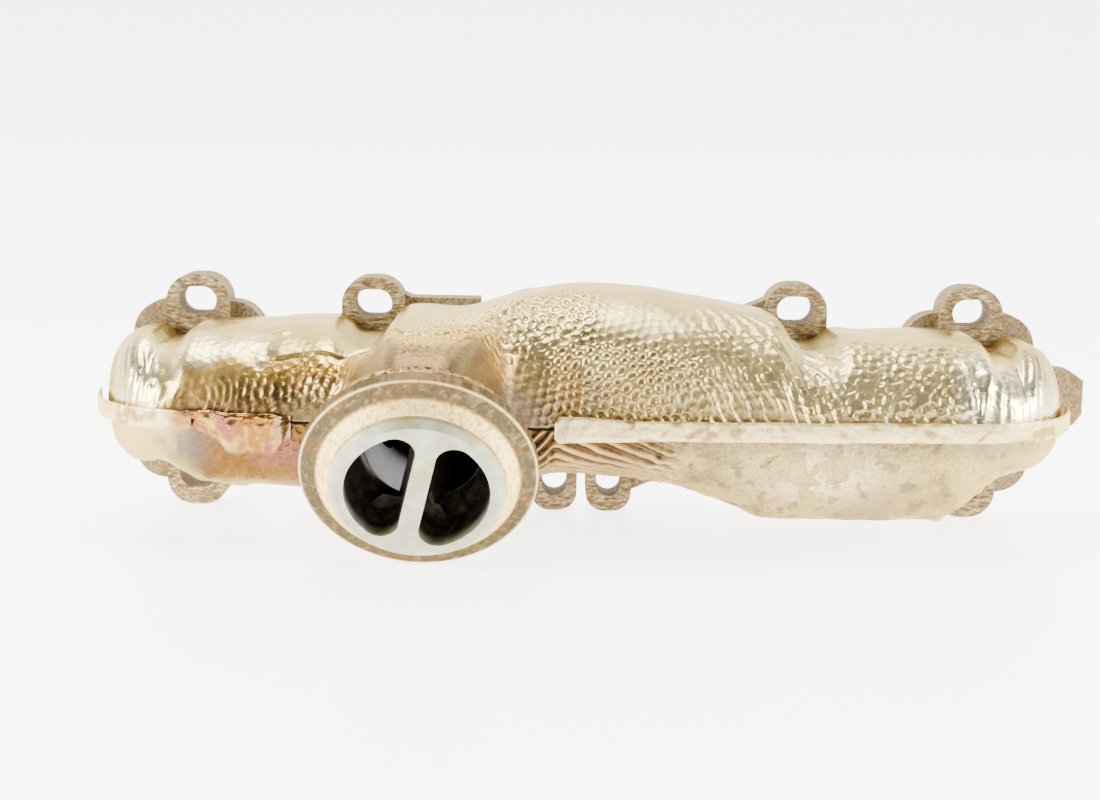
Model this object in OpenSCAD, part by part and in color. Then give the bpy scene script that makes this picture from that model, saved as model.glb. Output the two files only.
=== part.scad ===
// Turbo exhaust manifold for a four-cylinder bank, with an insulated two-part heat shield.
// X runs along the row of ports, Y points into the cylinder head, Z is up.
// The origin is on the head face, midway between the two inner ports.

/* [Head flanges] */
// Distance between neighbouring exhaust ports
port_pitch = 94; // [90:0.5:98]
// Radius of the gas port in each flange
port_r = 15; // [13.5:0.25:15]
// Height of the upper bolts above the port centres, and of the lower bolts below them
bolt_z = 32; // [31:0.5:34]
// Half the height of the bolt slots
slot_r = 5; // [4:0.25:5.5]
// End-to-end length of the bolt slots
slot_length = 13.8; // [11:0.2:14]
// Distance of the two upper middle bolts from the centre
upper_inner_x = 77; // [76:0.5:80]
// Distance of the two lower middle bolts from the centre
lower_inner_x = 10; // [9.8:0.1:11]
// Thickness of the flange plates
flange_t = 12; // [10:0.5:13]
// Thickness at the bolt lugs
lug_t = 16; // [14:0.5:16]

/* [Pipes] */
// Outer radius of the port pipes
pipe_r = 17; // [16.5:0.25:17]
// Wall thickness of the port pipes
pipe_wall = 2; // [1.5:0.25:3]
// Outer radius of the log that joins the two right-hand ports
log_r = 17.4; // [17.2:0.1:17.4]

/* [Outlet] */
// Distance of the outlet from the centre, towards port 1
outlet_x = 53; // [51:0.5:55]
// Distance from the head face to the centre of the outlet flange's front face
outlet_y = 127; // [124:1:130]
// Angle between the outlet and the horizontal, pointing down, in degrees
outlet_tilt = 30; // [28:1:32]
// Outer radius of the clamp flange
outlet_flange_r = 38; // [36:0.5:40]
// Radius of the spigot that enters the turbocharger
spigot_r = 28; // [27:0.25:28.5]
// Thickness of the wall between the two gas passages
divider_t = 6.5; // [4:0.5:8]
// Radius in the corners of the two outlet passages
corner_r = 6; // [3:0.5:8]
// Lean of that wall from the vertical, in degrees
divider_lean = 12; // [8:1:16]

/* [Heat shield] */
// Thickness of the outer and inner foils
foil_t = 0.6; // [0.4:0.1:0.8]
// Thickness of the fibre mat
mat_t = 4; // [3:0.25:4]
// Half the length of the shield
shield_half = 169; // [168:0.5:171]
// Height of the folded hem
hem_h = 7; // [6:0.5:8]

/* [Hidden] */
$fn = 72;

port_x = [for (i = [-1.5:1:1.5]) i * port_pitch];
pipe_bore = pipe_r - pipe_wall;
bolt_x = port_x[3];
socket_t = 6;
fit_gap = 0.1;
weld_w = 3;

// Lugs
lug_half_w = 11.4;
lug_wall = 4.5;
lug_foot = 6.5;
inner_lug_half_w = 8.4;
inner_slot_r = 4.5;
inner_slot_length = 12;
foot_z = -43.5;

// Elbows, log and stubs
left_bend = 34;
right_bend = 36;
left_lead = 18;
right_lead = 22;
left_y = -(left_lead + left_bend);
right_y = -(right_lead + right_bend);
left_stub_x = -90;
right_stub_x = -24;
log_end = port_x[3] - right_bend - 6;
rear_stub_y = -26;
log_bore = pipe_bore + 0.3;
left_stub_r = pipe_r + 0.5;
right_stub_r = log_r + 1.6;
rear_stub_r = pipe_r + 2;
rear_bore = pipe_bore - 0.4;

// Outlet frame: the centre of the clamp flange's front face, resting on foot_z
outlet = [-outlet_x, -outlet_y, foot_z + outlet_flange_r * cos(outlet_tilt)];
neck_r = spigot_r - 0.3;
seat_s = 5.2;
passage_r = spigot_r - 5;
spigot_s = 8.8;
nose_s = spigot_s - 2;
neck_s = -12;
corner_s = -18;
body_r = 23;
body_bore = 19.5;
body_y = outlet.y - corner_s * cos(outlet_tilt);
body_z = outlet.z - corner_s * sin(outlet_tilt);
body_back = -30;

// Shield: seam height, rear edge, line of the crest, and where the rounded ends begin
seam_z = -1.6;
rear_y = -17.5;
crest_y = -46;
end_start = 134;
rows = 10;
crest_row = 7;
hem_t = 1.2;
// Height of the crest along X, before the four bolt grooves are pressed in
crest = [[-170, 30], [-156, 27.5], [-148, 25.5], [-125, 26.5], [-100, 27.5], [-86, 28], [-60, 32], [-42, 32],
         [-30, 36], [-17, 40], [4, 42], [22, 41], [40, 38], [62, 33.5], [90, 27], [122, 27], [148, 25.5],
         [156, 27.5], [170, 30]];
// Bolt grooves: X, half-width and height of the floor, low enough for a socket to reach the nuts along Y
grooves = [[-144, 7, bolt_z - 11.5], [-76, 10, bolt_z - 10.5], [78, 10, bolt_z - 10.5], [144, 7, bolt_z - 11.5]];
// Height of the keel along X
keel = [[-170, -26], [-155, -24], [-146, -21.5], [-132, -28], [-112, -29], [-90, -30.5], [-70, -34], [-53, -35],
        [-36, -31], [-16, -22], [0, -21], [21, -23], [35, -26.5], [54, -33.5], [62, -37], [124, -37],
        [130, -33.5], [143, -23], [158, -22.5], [170, -25]];
// Position of the front of the shield along X
front = [[-170, -76], [-130, -80], [-90, -84], [-50, -88], [0, -88], [60, -86], [130, -81], [170, -76]];

// ---- Small helpers ----

// Smooth curve through the points p, flat at both ends
function span(x, p, i = 0) = i >= len(p) - 2 || x < p[i + 1][0] ? i : span(x, p, i + 1);
function slope(p, i) = i == 0 || i == len(p) - 1 ? 0 : (p[i + 1][1] - p[i - 1][1]) / (p[i + 1][0] - p[i - 1][0]);
function curve(x, p) =
    let (i = span(x, p), h = p[i + 1][0] - p[i][0], t = max(0, min(1, (x - p[i][0]) / h)))
    p[i][1] * (2 * t ^ 3 - 3 * t ^ 2 + 1) + slope(p, i) * h * (t ^ 3 - 2 * t ^ 2 + t)
    + p[i + 1][1] * (3 * t ^ 2 - 2 * t ^ 3) + slope(p, i + 1) * h * (t ^ 3 - t ^ 2);

// Bump of height 1 around x = 0 with half-width w and steep flanks
function bump(x, w) = exp(-((x / w) ^ 4));

// Power that keeps superellipse sines and cosines real
function pw(a, n) = max(0, a) ^ n;

// Cylinder along +Y from y0 to y1 at x, z
module rod_y(x, z, y0, y1, r) { translate([x, y0, z]) rotate([-90, 0, 0]) cylinder(r = r, h = y1 - y0); }

// Cylinder along +X from x0 to x1 at y, z
module rod_x(x0, x1, y, z, r) { translate([x0, y, z]) rotate([0, 90, 0]) cylinder(r = r, h = x1 - x0); }

// Quarter bend in the XY plane: starts at the origin heading along -Y, ends heading along side * X
module elbow(bend, r, side) {
    translate([side * bend, 0, 0]) rotate([0, 0, side > 0 ? 180 : 270])
        rotate_extrude(angle = 90) translate([bend, 0]) circle(r = r);
}

// Moves to the outlet's frame: +Z runs out of the outlet, +Y is up across its face
module at_outlet() { translate(outlet) rotate([90 + outlet_tilt, 0, 0]) children(); }

// ---- Head flanges ----

// Outline of a round end joined to another by its tangents
module link(a, ra, b, rb) {
    d = norm(b - a);
    u = (b - a) / d;
    s = (ra - rb) / d;
    c = sqrt(1 - s * s);
    n1 = [u.x * s - u.y * c, u.y * s + u.x * c];
    n2 = [u.x * s + u.y * c, u.y * s - u.x * c];
    translate(a) circle(r = ra);
    translate(b) circle(r = rb);
    polygon([a + ra * n1, b + rb * n1, b + rb * n2, a + ra * n2]);
}

// Slot outline, centred, lying along X
module slot(length, r) { link([-(length / 2 - r), 0], r, [length / 2 - r, 0], r); }

// Rounded plate outline
module plate(w, h, r) {
    square([w, h - 2 * r], center = true);
    square([w - 2 * r, h], center = true);
    for (i = [-1, 1], j = [-1, 1]) translate([i * (w / 2 - r), j * (h / 2 - r)]) circle(r = r);
}

// Lug outline at the upper (side 1) or lower (side -1) edge: round end, straight legs back to the plate
module lug_outline(x, half_w, top, side) {
    r = half_w - 1.5;
    translate([x, side * (top - r)]) {
        slot(2 * half_w, r);
        translate([-half_w, side > 0 ? -(top - r) + 14 : 0]) square([2 * half_w, top - r - 14]);
    }
}

// Raises an XZ outline from the head face (y = 0) to thickness t
module raise(t, y0 = 0) { translate([0, y0, 0]) rotate([90, 0, 0]) linear_extrude(t) children(); }

// Gas port through a flange, and the socket that takes the pipe
module port_bore(x) {
    rod_y(x, 0, -lug_t - 1, 1, port_r);
    rod_y(x, 0, -lug_t - 1, -socket_t, pipe_r + fit_gap);
}

module upper_slot(x) { raise(lug_t + 2, 1) translate([x, bolt_z]) slot(slot_length, slot_r); }
module lower_slot(x) { raise(lug_t + 2, 1) translate([x, -bolt_z]) slot(slot_length, slot_r); }
module inner_slot(x) {
    raise(lug_t + 2, 1) translate([x, -bolt_z]) rotate(90) slot(inner_slot_length, inner_slot_r);
}

// End flange: a rounded plate with a lug above and below the port; side is -1 on the left, 1 on the right
module end_flange(side) {
    x = side * bolt_x;
    difference() {
        union() {
            raise(flange_t) translate([x, -1.5]) plate(48, 66, 12);
            raise(flange_t) translate([x, 0]) circle(r = pipe_r + 8);
            raise(lug_t) lug_outline(x, lug_half_w, bolt_z + slot_r + lug_wall, 1);
            raise(lug_t) lug_outline(x, lug_half_w, -foot_z, -1);
            if (side > 0) ground_pad();
        }
        port_bore(x);
        upper_slot(x);
        lower_slot(x);
    }
}

// Ground pad on the outer edge of the right-hand end flange
module ground_pad() {
    raise(flange_t) translate([bolt_x, 0])
        polygon([[10, 14], [30, 12], [38, 11], [43, 7.5], [43, -5], [40, -9], [30, -12], [10, -14]]);
}

// Inner flange: a round body with a web to its upper outer lug and another to its lower inner lug
module inner_flange(side) {
    x = side * port_pitch / 2;
    difference() {
        union() {
            raise(flange_t) link([x, 0], pipe_r + 8, [side * upper_inner_x, bolt_z - 4], 11);
            raise(flange_t) link([x, 0], pipe_r + 8, [side * (lower_inner_x + 8), -bolt_z + 7], 10);
            raise(flange_t) inner_web(side);
            raise(lug_t) lug_outline(side * upper_inner_x, lug_half_w, bolt_z + slot_r + lug_wall, 1);
            raise(lug_t) lug_outline(side * lower_inner_x, inner_lug_half_w, -foot_z, -1);
        }
        port_bore(x);
        upper_slot(side * upper_inner_x);
        inner_slot(side * lower_inner_x);
        clear_of_centre(side);
    }
}

// Left: square-ended bar along the top edge. Right: pointed gusset on the lower edge
module inner_web(side) {
    if (side < 0)
        polygon([[-upper_inner_x, 12], [-38, 12], [-38, bolt_z + 2], [-upper_inner_x, bolt_z + 2]]);
    else
        polygon([[lower_inner_x, -18], [48, -20], [38, -29.5], [36, -28], [lower_inner_x, -40]]);
}

// Keeps the two inner flanges apart at the centre
module clear_of_centre(side) {
    gap = lower_inner_x - inner_lug_half_w;
    translate([side > 0 ? gap - 60 : -gap, -lug_t - 1, -60]) cube([60, lug_t + 2, 120]);
}

module port_flange_1() { color([0.42, 0.37, 0.31]) end_flange(-1); }
module port_flange_2() { color([0.42, 0.37, 0.31]) inner_flange(-1); }
module port_flange_3() { color([0.42, 0.37, 0.31]) inner_flange(1); }
module port_flange_4() { color([0.42, 0.37, 0.31]) end_flange(1); }

// ---- Pipes and castings inside the shield ----

// Solid path of the left-hand pipe at radius r: out of port 1 and round to the collector
module left_path(r, over = 0) {
    rod_y(-bolt_x, 0, -left_lead, -socket_t + over, r);
    translate([-bolt_x, -left_lead, 0]) elbow(left_bend, r, 1);
    rod_x(-bolt_x + left_bend, left_stub_x + over, left_y, 0, r);
}

module port_pipe_1() {
    color([0.36, 0.31, 0.27]) difference() { left_path(pipe_r); left_path(pipe_bore, 1); }
}

// Straight pipe from a middle flange to the stub behind it
module straight_pipe(x) {
    difference() {
        rod_y(x, 0, rear_stub_y, -socket_t, pipe_r);
        rod_y(x, 0, rear_stub_y - 1, -socket_t + 1, pipe_bore);
    }
}

module port_pipe_2() { color([0.36, 0.31, 0.27]) straight_pipe(-port_pitch / 2); }
module port_pipe_3() { color([0.36, 0.31, 0.27]) straight_pipe(port_pitch / 2); }

// Solid path of the right-hand pipe at radius r: out of port 4 and round to the log
module right_path(r, over = 0) {
    rod_y(bolt_x, 0, -right_lead, -socket_t + over, r);
    translate([bolt_x, -right_lead, 0]) elbow(right_bend, r, -1);
    rod_x(log_end - over, bolt_x - right_bend, right_y, 0, r);
}

module port_pipe_4() {
    color([0.36, 0.31, 0.27]) difference() { right_path(pipe_r); right_path(pipe_bore, 1); }
}

// Log: duct from pipe 4 to the collector, with a side branch for port 3
module right_log() {
    color([0.34, 0.3, 0.26]) difference() {
        union() {
            rod_x(right_stub_x, log_end, right_y, 0, log_r);
            rod_y(port_pitch / 2, 0, right_y, rear_stub_y, rear_stub_r);
        }
        rod_x(right_stub_x - 1, log_end + 1, right_y, 0, log_bore);
        rod_y(port_pitch / 2, 0, right_y, rear_stub_y + 1, rear_bore);
    }
}

// Neck, rounded corner and body of the collector, as a solid of radius r
module body_path(r, back_y) {
    at_outlet() translate([0, 0, corner_s]) cylinder(r = r, h = neck_s - corner_s + 1);
    translate([outlet.x, body_y, body_z]) sphere(r = r + 0.5);
    rod_y(outlet.x, body_z, body_y, back_y, r);
}

// Outside of the collector: spigot, shoulder, neck and body
module collector_outside() {
    at_outlet() {
        translate([0, 0, seat_s]) cylinder(r = spigot_r, h = nose_s - seat_s);
        translate([0, 0, nose_s]) cylinder(r1 = spigot_r, r2 = spigot_r - 2, h = spigot_s - nose_s);
        translate([0, 0, neck_s]) cylinder(r = neck_r, h = seat_s - neck_s + 0.5);
        translate([0, 0, neck_s - 5]) cylinder(r1 = body_r + 0.9, r2 = neck_r, h = 5);
    }
    body_path(body_r, body_back);
}

// Gas space of the collector, before it is divided
module collector_inside() {
    at_outlet() {
        translate([0, 0, -4]) cylinder(r = passage_r, h = spigot_s + 5);
        translate([0, 0, neck_s]) cylinder(r1 = body_bore + 0.3, r2 = passage_r, h = -4 - neck_s);
    }
    body_path(body_bore, body_back - 5);
}

// Wall between the two gas passages: leaning in the outlet, then running across to the right of port 2
module divider() {
    at_outlet() rotate([0, 0, -divider_lean]) translate([-divider_t / 2, -40, -15]) cube([divider_t, 80, 28]);
    translate([outlet.x - 2.5, outlet.y + 6, -45]) rotate([0, 0, -16]) cube([5, 100, 90]);
}

// Rounded corners of the two D-shaped passages, where the dividing wall meets the round wall
module port_corners(cut) {
    cx = divider_t / 2 + corner_r;
    cy = sqrt(pow(passage_r - corner_r, 2) - cx * cx);
    at_outlet() rotate([0, 0, -divider_lean]) for (i = [-1, 1], j = [-1, 1])
        if (cut)
            translate([0, 0, -5]) linear_extrude(spigot_s + 6)
                polygon([[i * cx, j * cy], [i * (divider_t / 2 - 1), j * cy], [i * (divider_t / 2 - 1), j * 26],
                         [i * cx * 26 / (passage_r - corner_r), j * cy * 26 / (passage_r - corner_r)]]);
        else
            translate([i * cx, j * cy, -4.6]) cylinder(r = corner_r + 0.05, h = spigot_s + 5.6);
}

module collector() {
    color([0.45, 0.44, 0.38]) difference() {
        union() {
            collector_outside();
            rod_x(left_stub_x, outlet.x, left_y, 0, left_stub_r);
            rod_y(-port_pitch / 2, 0, left_y, rear_stub_y, rear_stub_r);
            rod_x(outlet.x + 10, right_stub_x, right_y, 0, right_stub_r);
        }
        difference() {
            union() {
                collector_inside();
                rod_x(left_stub_x - 1, outlet.x - 6, left_y, 0, pipe_bore);
                rod_y(-port_pitch / 2, 0, left_y, rear_stub_y + 1, rear_bore);
                rod_x(outlet.x + 12, right_stub_x + 1, right_y, 0, log_bore);
            }
            divider();
            port_corners(true);
        }
        port_corners(false);
    }
}

// Clamp flange: rim, shallow face, steep seat and a tapered back
module outlet_flange() {
    color([0.4, 0.34, 0.27]) at_outlet() rotate_extrude()
        polygon([[neck_r + fit_gap, -9], [spigot_r + 3.5, -9], [outlet_flange_r - 1, -5], [outlet_flange_r, -4],
                 [outlet_flange_r, -0.8], [outlet_flange_r - 0.8, 0], [spigot_r + 4, 1.5], [neck_r + fit_gap, 5]]);
}

// ---- Welds ----

// Fillet bead round a pipe of radius r, against a face at z = 0, lying on its +Z side
module bead(r) { rotate_extrude() translate([r, 0]) polygon([for (a = [0:15:90]) weld_w * [sin(a), cos(a)], [0, 0]]); }

module flange_welds() {
    color([0.3, 0.27, 0.25]) for (x = port_x)
        translate([x, -flange_t, 0]) rotate([90, 0, 0]) bead(pipe_r);
}

module pipe_welds() {
    color([0.3, 0.27, 0.25]) {
        translate([left_stub_x, left_y, 0]) rotate([0, -90, 0]) bead(pipe_r);
        translate([log_end, right_y, 0]) rotate([0, 90, 0]) bead(pipe_r);
        translate([right_stub_x, right_y, 0]) rotate([0, 90, 0]) bead(log_r);
        for (x = [-port_pitch / 2, port_pitch / 2]) translate([x, rear_stub_y, 0]) rotate([-90, 0, 0]) bead(pipe_r);
    }
}

module outlet_weld() {
    color([0.3, 0.27, 0.25]) at_outlet() translate([0, 0, -9]) rotate([180, 0, 0]) bead(neck_r);
}

// ---- Heat shield ----

// Crest with its bolt grooves
function crest_z(x) =
    let (z = curve(x, crest), d = [for (g = grooves) (g[2] - z) * bump(x - g[0], g[1])])
    z + d[0] + d[1] + d[2] + d[3];

// Stations along X: close together round the rounded ends and the outlet neck.
// Each is [X, how far the section has shrunk], 1 in the middle and almost 0 at the tips
end_n = 2.5;
end_steps = 9;
neck_step = 4.1;
middle_x = concat([for (i = [0:5]) -end_start + 8.4 * i], [for (i = [-7:7]) -outlet_x + neck_step * i],
                  [for (i = [16:-1:0]) end_start - 9.25 * i]);
stations = len(middle_x) + 2 * end_steps - 1;
function tip(side, j, off) =
    let (a = 90 * min(j / end_steps, 0.985))
    [side * (end_start + (shield_half - off - end_start) * pw(sin(a), 2 / end_n)), pw(cos(a), 2 / end_n)];
function station(i, off) =
    i < end_steps ? tip(-1, end_steps - i, off)
    : i > stations - end_steps ? tip(1, i - stations + end_steps, off)
    : [middle_x[i - end_steps], 1];

// Height above or below the seam at which a half shell has to start, so that it clears the neck
notch_r = body_r + 2;
function notch(x, side) =
    let (d = x - outlet.x) abs(d) < notch_r ? sqrt(notch_r ^ 2 - d ^ 2) + side * (body_z - seam_z) : 0;

// Point of a section at station s = [x, k]: v runs 0 to 1 from the seam to the crest, then 1 to 2 to the rear.
// h is the height of the section, yf its front and n its roundness
function section(s, v, side, h, yf, n) =
    let (k = s[1], y0 = rear_y + (yf - rear_y) * k, yc = rear_y + (crest_y - rear_y) * k,
         a = 90 * min(v, 1), t = max(v - 1, 0))
    [s[0], yc + (y0 - yc) * pw(cos(a), 2 / n) + (rear_y - yc) * t,
     seam_z + side * h * k * (pw(sin(a), 2 / n) - 0.02 * t * t)];

// Depth of a skin below the outer face where the shield is h high: the mat is pressed thin in the grooves
function depth(off, h) = off - 0.6 * min(max(off - mat_off, 0), mat_t) * max(0, min(1, (26 - h) / 3.5));

// One skin of a half shell, off below the outer face: rows of points from the seam to the rear at every station
function skin(side, off, gap) = [
    for (i = [0:stations])
        let (s = station(i, off), x = s[0], near = bump(x - outlet.x, 30), full = side * ((side > 0 ? crest_z(x) : curve(x, keel)) - seam_z),
             h = full - depth(off, full), n = 2.2 + 1.8 * near,
             yf = curve(x, front) + off - (side > 0 ? 46 : 14) * bump(x - outlet.x, 20),
             v0 = asin(pw(min(max(gap, notch(x, side)) / max(h * s[1], 0.6), 0.94), n / 2)) / 90)
        [for (j = [0:rows]) let (t = j / crest_row)
            section(s, t < 1 ? v0 + (1 - v0) * t : 1 + (j - crest_row) / (rows - crest_row), side, h, yf, n)]
];

// Closed shell between two skins with the same grid
module shell_between(outer, inner) {
    n = len(outer);
    m = len(outer[0]);
    points = concat([for (r = outer) each r], [for (r = inner) each r]);
    function at(k, i, j) = k * n * m + i * m + j;
    function quad(a, b, c, d) = [[a, b, c], [a, c, d]];
    faces = concat(
        [for (i = [0:n - 2], j = [0:m - 2]) each quad(at(0, i, j), at(0, i, j + 1), at(0, i + 1, j + 1), at(0, i + 1, j))],
        [for (i = [0:n - 2], j = [0:m - 2]) each quad(at(1, i, j), at(1, i + 1, j), at(1, i + 1, j + 1), at(1, i, j + 1))],
        [for (i = [0:n - 2]) each quad(at(0, i, 0), at(0, i + 1, 0), at(1, i + 1, 0), at(1, i, 0))],
        [for (i = [0:n - 2]) each quad(at(0, i, m - 1), at(1, i, m - 1), at(1, i + 1, m - 1), at(0, i + 1, m - 1))],
        [for (j = [0:m - 2]) each quad(at(0, 0, j), at(1, 0, j), at(1, 0, j + 1), at(0, 0, j + 1))],
        [for (j = [0:m - 2]) each quad(at(0, n - 1, j), at(0, n - 1, j + 1), at(1, n - 1, j + 1), at(1, n - 1, j))]
    );
    polyhedron(points, faces);
}

layer_gap = 0.15;
mat_off = foil_t + layer_gap;
inner_off = mat_off + mat_t + layer_gap;

module layer(side, off, t) {
    if (side > 0) shell_between(skin(1, off, 0.5), skin(1, off + t, 0.5));
    else shell_between(skin(-1, off + t, 0.5), skin(-1, off, 0.5));
}

module upper_outer_foil() { color([0.72, 0.68, 0.6]) layer(1, 0, foil_t); }
module lower_outer_foil() { color([0.76, 0.7, 0.6]) layer(-1, 0, foil_t); }
module upper_fibre_mat() { color([0.85, 0.84, 0.8]) layer(1, mat_off, mat_t); }
module lower_fibre_mat() { color([0.85, 0.84, 0.8]) layer(-1, mat_off, mat_t); }
module upper_inner_foil() { color([0.6, 0.57, 0.52]) layer(1, inner_off, foil_t); }
module lower_inner_foil() { color([0.6, 0.57, 0.52]) layer(-1, inner_off, foil_t); }

// Seam line seen from above, moved outwards by d
function seam_point(i, d) =
    let (p = function(j) let (s = station(max(0, min(stations, j)), 0)) [s[0], rear_y + (curve(s[0], front) - rear_y) * s[1]],
         t = p(i + 1) - p(i - 1), u = t / norm(t))
    p(i) + d * [u.y, -u.x];

// Hem: a folded strip that follows the seam from station i0 to i1, with the given section [out, up]
module hem(i0, i1, outline) {
    n = i1 - i0 + 1;
    m = len(outline);
    points = [for (i = [i0:i1], q = outline) let (p = seam_point(i, q[0])) [p.x, p.y, seam_z + q[1]]];
    sides = [for (i = [0:n - 2], j = [0:m - 1]) let (k = (j + 1) % m)
        each [[i * m + j, (i + 1) * m + j, (i + 1) * m + k], [i * m + j, (i + 1) * m + k, i * m + k]]];
    polyhedron(points, concat(sides, [[for (j = [0:m - 1]) j]], [[for (j = [m - 1:-1:0]) (n - 1) * m + j]]));
}

hem_out = 4.5;
hem_low = 3;
open_hem = [[0.05, -hem_low], [hem_out, -hem_low], [hem_out, hem_h - hem_low], [hem_out - hem_t, hem_h - hem_low],
            [hem_out - hem_t, hem_t - hem_low], [0.05, hem_t - hem_low]];

module left_hem() { color([0.74, 0.68, 0.56]) hem(1, 14, open_hem); }
module right_hem() { color([0.8, 0.76, 0.64]) hem(end_steps + 21, stations - 1, open_hem); }

// ---- Assembly ----

port_flange_1();
port_flange_2();
port_flange_3();
port_flange_4();
port_pipe_1();
port_pipe_2();
port_pipe_3();
port_pipe_4();
right_log();
collector();
outlet_flange();
flange_welds();
pipe_welds();
outlet_weld();
upper_outer_foil();
lower_outer_foil();
upper_fibre_mat();
lower_fibre_mat();
upper_inner_foil();
lower_inner_foil();
left_hem();
right_hem();
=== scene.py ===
"""Turbo exhaust manifold inside an insulated foil heat shield: the visual model and its studio."""
import math

import bpy
import numpy as np
from mathutils import Matrix, Vector


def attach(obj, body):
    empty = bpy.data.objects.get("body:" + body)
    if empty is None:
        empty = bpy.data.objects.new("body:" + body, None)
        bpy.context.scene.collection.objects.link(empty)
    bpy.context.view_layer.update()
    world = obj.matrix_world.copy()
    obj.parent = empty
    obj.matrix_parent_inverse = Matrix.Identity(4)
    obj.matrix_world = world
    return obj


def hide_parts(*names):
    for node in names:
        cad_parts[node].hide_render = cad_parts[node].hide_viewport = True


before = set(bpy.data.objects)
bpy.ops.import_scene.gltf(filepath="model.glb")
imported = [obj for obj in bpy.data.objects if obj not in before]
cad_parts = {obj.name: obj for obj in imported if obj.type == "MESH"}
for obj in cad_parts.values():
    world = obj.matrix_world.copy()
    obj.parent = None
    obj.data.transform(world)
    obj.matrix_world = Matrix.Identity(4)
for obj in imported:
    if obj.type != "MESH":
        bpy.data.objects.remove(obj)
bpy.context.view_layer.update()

MM = 0.001

# ---- Shield outline, in millimetres, as in the CAD model ----
SEAM_Z = -1.6
REAR_Y = -17.5
CREST_Y = -46.0
HALF_LENGTH = 169.0
END_START = 134.0
END_ROUND = 2.5
TILT = math.radians(30.0)
OUTLET = np.array([-53.0, -127.0, -43.5 + 38.0 * math.cos(TILT)])
AXIS = np.array([0.0, -math.cos(TILT), -math.sin(TILT)])
BODY_Z = OUTLET[2] + 18.0 * math.sin(TILT)
NECK_CLEARANCE = 25.0
CREST = [(-170, 30), (-156, 27.5), (-148, 25.5), (-125, 26.5), (-100, 27.5), (-86, 28), (-60, 32), (-42, 32),
         (-30, 36), (-17, 40), (4, 41.6), (22, 41), (40, 38), (62, 33.5), (90, 27), (122, 27), (148, 25.5),
         (156, 27.5), (170, 30)]
GROOVES = [(-144, 7, 20.5), (-76, 10, 21.5), (78, 10, 21.5), (144, 7, 20.5)]
KEEL = [(-170, -26), (-155, -24), (-146, -21.5), (-132, -28), (-112, -29), (-90, -30.5), (-70, -34),
        (-53, -35), (-36, -31), (-16, -22), (0, -21), (21, -23), (35, -26.5), (54, -33.5), (62, -37),
        (124, -37), (130, -33.5), (143, -23), (158, -22.5), (170, -25)]
FRONT = [(-170, -76), (-130, -80), (-90, -84), (-50, -88), (0, -88), (60, -86), (130, -81), (170, -76)]

# ---- Foil surface ----
FRONT_ROWS = 112
REAR_ROWS = 24
END_COLUMNS = 84
MIDDLE_COLUMNS = 430
DIMPLE_ANGLE = 48
DIMPLE_WAVE = 2.05
DIMPLE_DEPTH = 0.30
BOWL_LOW = -1.4
BOWL_HIGH = 1.6
DUSTY_ROUGHNESS = 0.46
LUG_FACE_Y = -0.01592


# ---- Curves, windows and grain ----

def curve(x, points):
    """Smooth curve through points, flat at both ends.

    Cubic Hermite pieces, each inner slope being the rise over the run between the two neighbours.
    """
    px = np.array([p[0] for p in points], float)
    py = np.array([p[1] for p in points], float)
    slope = np.zeros_like(py)
    slope[1:-1] = (py[2:] - py[:-2]) / (px[2:] - px[:-2])
    i = np.clip(np.searchsorted(px, x, side="right") - 1, 0, len(px) - 2)
    h = px[i + 1] - px[i]
    t = np.clip((x - px[i]) / h, 0, 1)
    return (py[i] * (2 * t**3 - 3 * t**2 + 1) + slope[i] * h * (t**3 - 2 * t**2 + t)
            + py[i + 1] * (3 * t**2 - 2 * t**3) + slope[i + 1] * h * (t**3 - t**2))


def bump(x, width):
    """Flat-topped bump round zero: e to the minus fourth power of x over width."""
    return np.exp(-(x / width) ** 4)


def step(x, low, high):
    """Smooth step from 0 at low to 1 at high."""
    t = np.clip((x - low) / (high - low), 0, 1)
    return t * t * (3 - 2 * t)


def window(x, low, high, soft):
    """1 between low and high, fading to 0 over the distance soft at each side."""
    return step(x, low - soft, low + soft) * (1 - step(x, high - soft, high + soft))


def spot(x, y, cx, cy, rx, ry):
    """Soft oval spot: a Gaussian round (cx, cy) with half-widths rx and ry."""
    return np.exp(-((x - cx) / rx) ** 2 - ((y - cy) / ry) ** 2)


def grain(u, v, seed):
    """Value noise from -1 to 1: random values on a unit grid, joined by smooth steps."""
    table = np.random.default_rng(seed).uniform(-1, 1, (256, 256))
    i = np.floor(u).astype(int)
    j = np.floor(v).astype(int)
    fu = u - i
    fv = v - j
    fu = fu * fu * (3 - 2 * fu)
    fv = fv * fv * (3 - 2 * fv)
    a = table[i % 256, j % 256] * (1 - fu) + table[(i + 1) % 256, j % 256] * fu
    b = table[i % 256, (j + 1) % 256] * (1 - fu) + table[(i + 1) % 256, (j + 1) % 256] * fu
    return a * (1 - fv) + b * fv


def rough(u, v, seed, octaves=3):
    """Fractal grain: each octave is twice as fine and half as strong."""
    total = 0.0
    for k in range(octaves):
        total = total + grain(u * 2**k + 17.3 * k, v * 2**k + 9.1 * k, seed + k) / 2**k
    return total


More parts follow.
